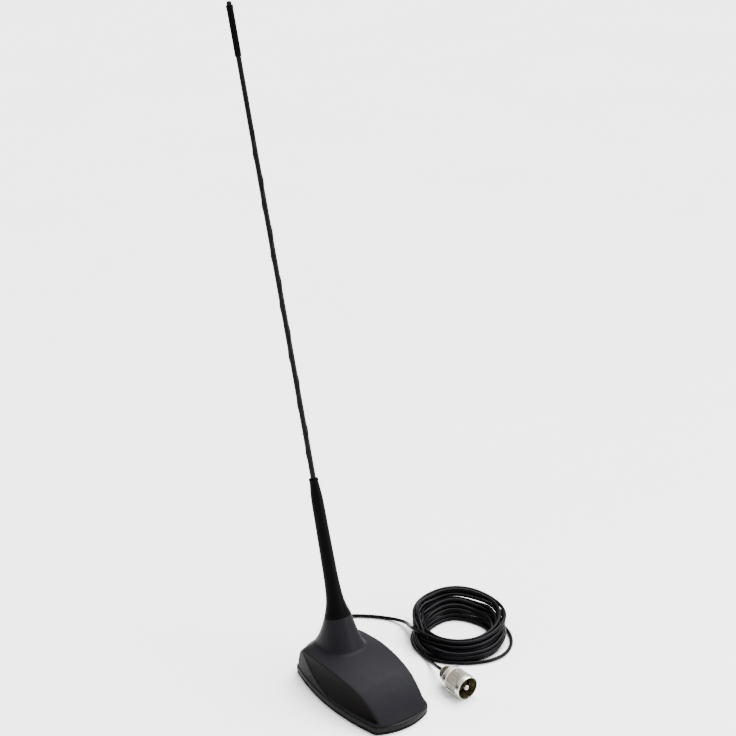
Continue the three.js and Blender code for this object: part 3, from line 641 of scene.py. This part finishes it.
def knurl(angle, height, low, high, teeth, depth):
    """How far straight teeth sink the surface, between two heights along the axis."""
    ridge = depth * (0.5 + 0.5 * np.cos(teeth * angle))
    inside = smoothstep(low, low + 0.3, height) * smoothstep(high, high - 0.3, height)
    return (ridge - depth) * inside


def add_ring():
    outside = [(8.1, 0), (8.45, 0.15), (8.7, 0.6), (8.7, 17.7), (8.45, 18.1), (8.1, 18.2)]
    inside = [(6.3, 18.2), (6.3, 13.5), (7.7, 12.8), (7.7, 0.5), (7.9, 0.05), (8.1, 0)]
    profile = finer(outside, 0.25) + finer(inside, 0.25)[1:]
    bore_radius, pitch, thread_depth = 7.7, 1.06, 0.22

    def relief(angle, height, radius):
        teeth = knurl(angle, height, low=3.4, high=14.4, teeth=44, depth=0.6) * (radius > 8)
        thread = thread_depth * np.cos(2 * math.pi * height / pitch - angle)
        in_bore = (np.abs(radius - bore_radius) < 0.05) & (height > 0.8) & (height < 12.4)
        return teeth + np.where(in_bore, thread - 0.2, 0)

    ring = turned("plug_ring", profile, LOOKS["nickel"], ALONG_PLUG, "coupling_ring", 288, relief)
    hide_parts("coupling_ring")
    return ring


def add_plug_body():
    """The plug's shell, with the row of solder holes behind the coupling ring."""
    profile = [
        (5.7, 7.2), (7.1, 7.2), (7.2, 7.4), (7.2, 10), (5.9, 10.6), (5.9, 18.3), (6.2, 18.7),
        (6.2, 21.4), (6.0, 21.8), (5.8, 21.9), (4.2, 21.9), (4.2, 12), (5.7, 11.6), (5.7, 7.2),
    ]
    hole_radius, hole_depth, hole_height = 1.15, 1.8, 20.1
    neck_radius = 6.2
    spacing = 2 * math.pi / 4

    def relief(angle, height, radius):
        round_about = ((angle + 0.35) % spacing - spacing / 2) * neck_radius
        distance = np.hypot(round_about, height - hole_height)
        in_hole = smoothstep(hole_radius, hole_radius - 0.25, distance)
        return np.where(radius > neck_radius - 0.4, -hole_depth * in_hole, 0)

    body = turned("plug_shell", finer(profile, 0.2), LOOKS["nickel"], ALONG_PLUG, segments=192,
                  relief=relief)
    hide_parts("plug_body")
    return body


def add_reducer():
    profile = [
        (1.7, 17), (3.9, 17), (3.9, 22.2), (4.7, 22.2), (4.9, 22.4), (4.9, 24.7), (4.5, 25.3),
        (1.7, 25.3), (1.7, 17),
    ]

    def relief(angle, height, radius):
        on_rim = (radius > 4.8) & (height > 22.6) & (height < 24.6)
        return np.where(on_rim, 0.15 * np.cos(40 * angle) - 0.15, 0)

    reducer = turned("plug_reducer", finer(profile, 0.4), LOOKS["nickel"], ALONG_PLUG,
                     segments=160, relief=relief)
    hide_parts("cable_reducer")
    return reducer


def add_insulator():
    profile = [
        (2.05, 11.2), (5.4, 11.2), (5.4, 7.6), (4.6, 7.6), (4.4, 8.0), (2.8, 8.0), (2.6, 7.6),
        (2.05, 7.6), (2.05, 11.2),
    ]
    insulator = turned("plug_dielectric", finer(profile, 0.5), LOOKS["phenolic"], ALONG_PLUG)
    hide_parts("plug_insulator")
    return insulator


def add_pin():
    """The hollow centre pin, open at its tip."""
    profile = [
        (0.05, 2.4), (0.9, 2.2), (0.9, 0.8), (1.2, 0.6), (1.6, 0.85), (1.95, 1.6), (1.95, 16.6),
        (0.05, 16.6),
    ]
    pin = turned("plug_centre_pin", finer(profile, 0.4), LOOKS["nickel"], ALONG_PLUG, segments=48)
    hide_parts("plug_pin")
    return pin


def add_plug_sleeve():
    profile = [
        (0.05, 17.2), (1.45, 17.2), (1.45, 25.6), (2.1, 25.6), (2.05, 26.6), (1.75, 28.2),
        (1.4, 28.4), (0.05, 28.4),
    ]
    sleeve = turned("plug_strain_relief", finer(profile, 0.4), LOOKS["rubber"], ALONG_PLUG,
                    segments=48)
    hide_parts("plug_sleeve")
    return sleeve


def add_plug():
    return [add_ring(), add_plug_body(), add_reducer(), add_insulator(), add_pin(),
            add_plug_sleeve()]


# ---------------------------------------------------------------- shape of the base

ROOF_EDGE = [
    (54, 4), (50.4, 10), (47, 16.5), (42, 21.5), (35, 24.2), (20, 25.8), (8, 26.5), (-8, 25.3),
    (-23, 22.4), (-32.4, 17.9), (-41.3, 11.4), (-46.5, 6.3), (-54, -3),
]
ROOF_LINE = smooth_line(ROOF_EDGE, 400)[::-1]


def roof_edge_height(y):
    return np.interp(y, ROOF_LINE[:, 0], ROOF_LINE[:, 1])


def roof_height(x, y):
    return roof_edge_height(y) + CROWN * (1 - (x / EDGE_HALF_WIDTH) ** 2)


def scoop_depth(y):
    share = np.clip((SCOOP_REAR - y) / (SCOOP_REAR - SCOOP_DEEPEST), 0, 1)
    behind = SCOOP_DEPTH * np.sin(share * math.pi / 2)
    ahead = SCOOP_DEPTH * np.cos(np.radians((SCOOP_DEEPEST - y) * 1.8))
    return np.where(y > SCOOP_DEEPEST, behind, np.maximum(ahead, 0))


def scoop_foot(y):
    rise = np.clip(y, 0, SCOOP_REAR) / SCOOP_REAR
    return SCOOP_FOOT + (roof_edge_height(SCOOP_REAR) - SCOOP_FOOT) * rise ** 1.4


def side_half_width(y, z):
    """Half width of the cover's side, scoop and ledge included."""
    inset, draft = 0.45, 0.03
    plain = HALF_WIDTH - inset - draft * (z - COVER_BOTTOM) - y * y / (2 * SIDE_RADIUS)
    foot = scoop_foot(y)
    top = np.maximum(roof_edge_height(y), foot + 1.5)
    share = np.clip((z - foot) / (top - foot), 0, 1)
    depth = scoop_depth(y)
    fade = depth / SCOOP_DEPTH
    on_ledge = smoothstep(-0.1, 0.45, z - foot)
    hollow = SCOOP_HOLLOW * 4 * share * (1 - share)
    return plain - fade * (LEDGE * on_ledge + hollow) - (depth - fade * LEDGE) * share


def tray_limit(x, y, inset, tail_inset=0.0, tail_radius=TAIL_RADIUS):
    """How far a point is inside the outline's two ends."""
    nose = HALF_LENGTH - inset - x * x / (2 * NOSE_RADIUS) + y
    tail = HALF_LENGTH - inset - tail_inset - x * x / (2 * tail_radius) - y
    return np.minimum(nose, tail)


def boss_depth(x, y, z):
    """How far a point is inside the raked boss."""
    foot_height, foot_side, foot_ahead, foot_behind = 20, 17.4, 19.5, 29
    seam_reach = 9.05
    seat = SEAM.z - RAKE_SLOPE * (y - SEAM.y)
    share = np.clip((seat - z) / (seat - foot_height), 0, 1.2)
    spread = 0.68 * share + 0.32 * share ** 3
    foot_y = SEAM.y - (SEAM.z - foot_height) * RAKE_SLOPE
    middle = SEAM.y + (foot_y - SEAM.y) * spread
    side = SEAM_RADIUS + (foot_side - SEAM_RADIUS) * spread
    ahead = seam_reach + (foot_ahead - seam_reach) * spread
    behind = seam_reach + (foot_behind - seam_reach) * spread
    reach = np.where(y > middle, behind, ahead)
    power = 2 + 0.6 * spread
    ratio = (np.abs(x / side) ** power + np.abs((y - middle) / reach) ** power) ** (1 / power)
    flank = (1 - ratio) * side
    top = (seat - z) * WHIP_AXIS.z
    return soft_min(flank, top, 0.7)


def cover_depth(x, y, z):
    """How far a point is inside the cover, in millimetres or nearly so; negative outside."""
    side = side_half_width(y, z) - np.abs(x)
    rise = np.array([COVER_BOTTOM, 12, 18, 25, 34])
    tail_inset = np.interp(z, rise, [0, 0.6, 2.2, 5, 9])
    tail_radius = np.interp(z, rise, [TAIL_RADIUS, 105, 90, 45, 41])
    inset = np.interp(z, rise, [0.4, 0.5, 0.7, 1.0, 1.8])
    ends = tray_limit(x, y, inset, tail_inset, tail_radius)
    roof_slant = 0.93
    roof = (roof_height(x, y) - z) * roof_slant
    corner = 1.2 + 2.6 * smoothstep(15, 50, y)
    walls = soft_min(side, ends, corner)
    crease = 0.9 + 2.1 * smoothstep(28, 44, y)
    body = soft_min(walls, roof, crease)
    body = soft_max(body, boss_depth(x, y, z), 2.0)
    return soft_min(body, z - COVER_BOTTOM, 0.3)


def cover_surface(rows, columns):
    """Points where rays from inside the cover meet its skin, evenly spread along each meridian."""
    origin = np.array([0.0, 18.0, 11.0])
    pole = np.array(SEAM) - origin
    pole /= np.linalg.norm(pole)
    across = np.array([1.0, 0, 0])
    ahead = np.cross(pole, across)
    turn = np.arange(columns) * 2 * math.pi / columns
    off_pole = 0.004
    tilt = np.repeat(np.linspace(off_pole, math.pi - off_pole, rows)[:, None], columns, axis=1)
    for _ in range(3):
        points = meet_skin(origin, pole, across, ahead, turn, tilt)
        step = np.linalg.norm(np.diff(points, axis=0), axis=2)
        reached = np.vstack([np.zeros(columns), np.cumsum(step, axis=0)])
        reached = reached / reached[-1]
        for column in range(columns):
            even = np.interp(np.linspace(0, 1, rows), reached[:, column], tilt[:, column])
            tilt[:, column] = even
        for _ in range(12):
            tilt = (np.roll(tilt, 1, axis=1) + 2 * tilt + np.roll(tilt, -1, axis=1)) / 4
    return meet_skin(origin, pole, across, ahead, turn, tilt)


def meet_skin(origin, pole, across, ahead, turn, tilt):
    around = np.cos(turn)[:, None] * across + np.sin(turn)[:, None] * ahead
    rays = np.cos(tilt)[..., None] * pole + np.sin(tilt)[..., None] * around
    low = np.zeros(tilt.shape)
    high = np.full(tilt.shape, FAR)
    for _ in range(HALVINGS):
        middle = (low + high) / 2
        at = origin + rays * middle[..., None]
        inside = cover_depth(at[..., 0], at[..., 1], at[..., 2]) > 0
        low = np.where(inside, middle, low)
        high = np.where(inside, high, middle)
    return origin + rays * low[..., None]


def add_cover():
    rows, columns = 330, 400
    points = cover_surface(rows, columns).reshape(-1, 3)
    cover = add_piece("cover", points, skin_faces(rows, columns), LOOKS["cover_plastic"], sharp=60)
    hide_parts("base_cover")


def add_trim(name, side):
    """A thin glossy panel that follows the scoop, with a rounded rim."""
    rows, columns = 150, 40
    proud, rim_drop, rim_width = 0.12, 0.35, 0.5
    y = np.linspace(TRIM_FRONT, TRIM_REAR, rows)[:, None]
    foot = scoop_foot(y) + 0.35
    top = np.maximum(roof_edge_height(y) - 0.2, foot + 0.4)
    share = np.linspace(0, 1, columns)[None, :]
    z = foot + (top - foot) * share
    to_rim = np.minimum(share, 1 - share) * (top - foot)
    to_end = np.minimum(y - TRIM_FRONT, TRIM_REAR - y)
    rim = rim_drop * (1 - smoothstep(0, rim_width, np.minimum(to_rim, to_end)))
    ys = np.broadcast_to(y, z.shape)
    outside = side_half_width(ys, z) + proud - rim
    inside = outside[:, ::-1] - TRIM_THICKNESS
    front = np.stack([side * outside, ys, z], axis=-1)
    back = np.stack([side * inside, ys, z[:, ::-1]], axis=-1)
    rings = np.concatenate([front, back], axis=1)
    if side < 0:
        rings = rings[:, ::-1]
    faces = skin_faces(rows, 2 * columns)
    trim = add_piece(f"{name}_panel", rings.reshape(-1, 3), faces, LOOKS["trim_plastic"])
    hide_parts(name)


def outline(z, inset):
    """The base's outline at one height, with softly rounded corners."""
    corner = 1.6
    turn = np.arange(OUTLINE_POINTS) * 2 * math.pi / OUTLINE_POINTS
    heading = np.stack([np.cos(turn), np.sin(turn)], axis=1)
    low = np.zeros(OUTLINE_POINTS)
    high = np.full(OUTLINE_POINTS, FAR)
    for _ in range(HALVINGS):
        middle = (low + high) / 2
        x, y = (heading * middle[:, None]).T
        side = HALF_WIDTH - inset - y * y / (2 * SIDE_RADIUS) - np.abs(x)
        inside = soft_min(side, tray_limit(x, y, inset), corner) > 0
        low = np.where(inside, middle, low)
        high = np.where(inside, high, middle)
    return np.column_stack([heading * low[:, None], np.full(OUTLINE_POINTS, z)])


def add_slab(name, node, levels, look):
    """A flat piece with the base's outline, through (height, inset) levels."""
    rings = np.vstack([outline(z, inset) for z, inset in levels])
    faces = skin_faces(len(levels), OUTLINE_POINTS)
    slab = add_piece(name, rings, faces, LOOKS[look], sharp=40)
    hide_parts(node)


def add_base():
    add_cover()
    add_trim("side_trim_left", -1)
    add_trim("side_trim_right", 1)
    bottom, top = TRAY_BOTTOM, TRAY_TOP
    add_slab("tray", "base_tray", [
        (bottom, 1.5), (bottom, 0.7), (bottom + 0.2, 0.35), (bottom + 0.8, 0.05), (bottom + 1.4, 0),
        (top - 0.9, 0), (top - 0.35, 0.12), (top - 0.05, 0.5), (top, 0.9), (top, 3),
    ], "tray_plastic")
    add_slab("pad", "base_pad", [
        (0.02, 1.5), (0.02, 0.6), (0.15, 0.35), (0.4, 0.25), (PAD_TOP - 0.2, 0.25),
        (PAD_TOP, 0.4), (PAD_TOP, 1.5),
    ], "rubber")


# ---------------------------------------------------------------- whip

BOOT_PROFILE = [
    (9.4, 0), (8.6, 2.5), (7.45, 6), (6.4, 10.4), (5.85, 14.8), (5.5, 19.1), (5.05, 27.8),
    (4.86, 36.5), (4.65, 49.5), (4.45, 62.6), (4.3, 75.6), (4.1, 84.3), (3.8, 88.6), (3.4, 93),
    (3.05, 96.6),
]
SLEEVE_END = 384
# The winding's bumps under the sleeve
BUMP_PITCH = 34
BUMP_FROM = 106
BUMP_TO = 338


def add_boot():
    skin = [tuple(point) for point in smooth_line(BOOT_PROFILE, 160)[2:]]
    profile = [(8.2, 0.25), (9.15, 0.25), (9.33, 0.35), (9.36, 0.6), *skin,
               (3.2, 96.9), (3.32, 97.2), (3.3, 98.3), (3.0, 98.8), (2.1, 98.8), (2.1, 62),
               (3.35, 59), (3.35, 14), (5.0, 13.3), (5.0, 1.35), (8.2, 1.35), (8.2, 0.25)]
    boot = turned("boot", profile, LOOKS["boot_rubber"], ALONG_WHIP, "whip", 128, sharp=50)
    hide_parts("whip_boot")


def add_seal():
    profile = [(5.6, 0.22), (7.6, 0.22), (7.78, 0.35), (7.78, 0.65), (7.6, 0.8), (5.6, 0.8),
               (5.6, 0.22)]
    seal = turned("seal_ring", profile, LOOKS["rubber"], ALONG_WHIP, "seal", 96)
    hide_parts("seal_washer")


def add_stud():
    """The M6 stud that the whip screws on to, with its right-handed thread."""
    radius, bottom, top = 2.6, -16, 6.2
    pitch, depth = 1.0, 0.32
    profile = finer([(0.05, bottom), (radius, bottom), (radius, top - 0.6), (radius - 0.6, top),
                     (0.05, top)], 0.1)

    def relief(angle, height, radius_here):
        groove = 0.5 - 0.5 * np.cos(2 * math.pi * height / pitch - angle)
        return np.where(radius_here > radius - 0.3, -depth * groove, 0)

    stud = turned("stud", profile, LOOKS["brass"], ALONG_WHIP, segments=64, relief=relief)
    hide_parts("antenna_stud")


def add_sleeve():
    """Shrunk sleeving over the rod, with the winding under it showing as soft bumps."""
    top = SLEEVE_END + 0.6  # inside the tip sleeve, so that no gap shows
    outside = [(1.93, 90), (1.93, 102), (1.72, top)]
    profile = [(1.45, 90), *finer(outside, 0.8), (1.45, top), (1.45, 90)]
    bump_height, bump_spread, run_in = 0.36, 0.5, 6

    def relief(angle, height, radius):
        lag = (angle - 2 * math.pi * height / BUMP_PITCH + math.pi) % (2 * math.pi) - math.pi
        bump = bump_height * np.exp(-(lag / bump_spread) ** 2)
        starts = smoothstep(BUMP_FROM, BUMP_FROM + run_in, height)
        ends = smoothstep(BUMP_TO, BUMP_TO - run_in, height)
        return np.where(radius > 1.5, bump * starts * ends, 0)

    sleeve = turned("sleeve", profile, LOOKS["sleeve_plastic"], ALONG_WHIP, "whip", 48, relief)
    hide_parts("whip_sleeve")


def add_tip():
    cap_base = 417.2
    profile = [
        (1.3, SLEEVE_END), (2.0, SLEEVE_END), (2.15, SLEEVE_END + 0.2), (2.2, SLEEVE_END + 1),
        (2.25, cap_base - 2.6), (2.42, cap_base - 2.1), (2.46, cap_base - 1.8),
        (2.46, cap_base - 0.9), (2.4, cap_base - 0.5), (2.2, cap_base - 0.3),
        (1.3, cap_base - 0.3), (1.3, SLEEVE_END),
    ]
    tip = turned("tip", finer(profile, 2), LOOKS["boot_rubber"], ALONG_WHIP, "whip", 64)
    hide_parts("tip_sleeve")
    dome = [(1.7 * math.cos(a), cap_base + 1 + 1.35 * math.sin(a)) for a in np.linspace(0, 1.5, 11)]
    cap_foot = cap_base - 0.8  # inside the tip sleeve
    cap_profile = [(0.05, cap_foot), (1.7, cap_foot), *dome]
    cap = turned("tip_plug", cap_profile, LOOKS["rubber"], ALONG_WHIP, "whip", 48)
    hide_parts("tip_cap")


def add_whip():
    add_stud()
    add_seal()
    add_boot()
    add_sleeve()
    add_tip()


# ---------------------------------------------------------------- lead entry and hidden pieces

def add_grommet():
    place = Matrix.Translation((0, 0, RUN_TO_COIL[0][2]))
    place = place @ Matrix.Rotation(math.radians(-90), 4, "X")
    outside = [(3.6, 43.5), (3.6, 45.2), (2.6, 45.2), (2.6, 51.4), (3.2, 51.4), (3.4, 51.7),
               (3.4, 52.7), (3.2, 53)]
    neck = [(3.0 - 1.1 * share, 53 + 4.7 * share) for share in np.linspace(0, 1, 30)]
    profile = [(1.55, 43.5), *outside, *neck, (1.8, 57.95), (1.55, 58), (1.55, 43.5)]
    groove_pitch, groove_depth = 1.2, 0.28

    def relief(angle, height, radius):
        on_neck = smoothstep(53.2, 53.6, height) * smoothstep(57.6, 57.2, height) * (radius > 1.7)
        return -groove_depth * on_neck * (0.5 + 0.5 * np.cos(2 * math.pi * height / groove_pitch))

    grommet = turned("lead_grommet", profile, LOOKS["rubber"], place, segments=64, relief=relief)
    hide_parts("cable_grommet")


def paint_frame_nodes():
    """Gives the CAD nodes that stay on show, or that hide inside, their finished materials."""
    slots = {part["node"]: part["material_slot"] for part in frame["record"]["subparts"]}
    for name, node in frame["nodes"].items():
        look = LOOKS[slots[name]]
        for material_slot in node.material_slots:
            material_slot.material = look


add_camera()
add_lead(add_plug())
add_studio()
add_floor()
add_base()
add_whip()
add_grommet()
paint_frame_nodes()
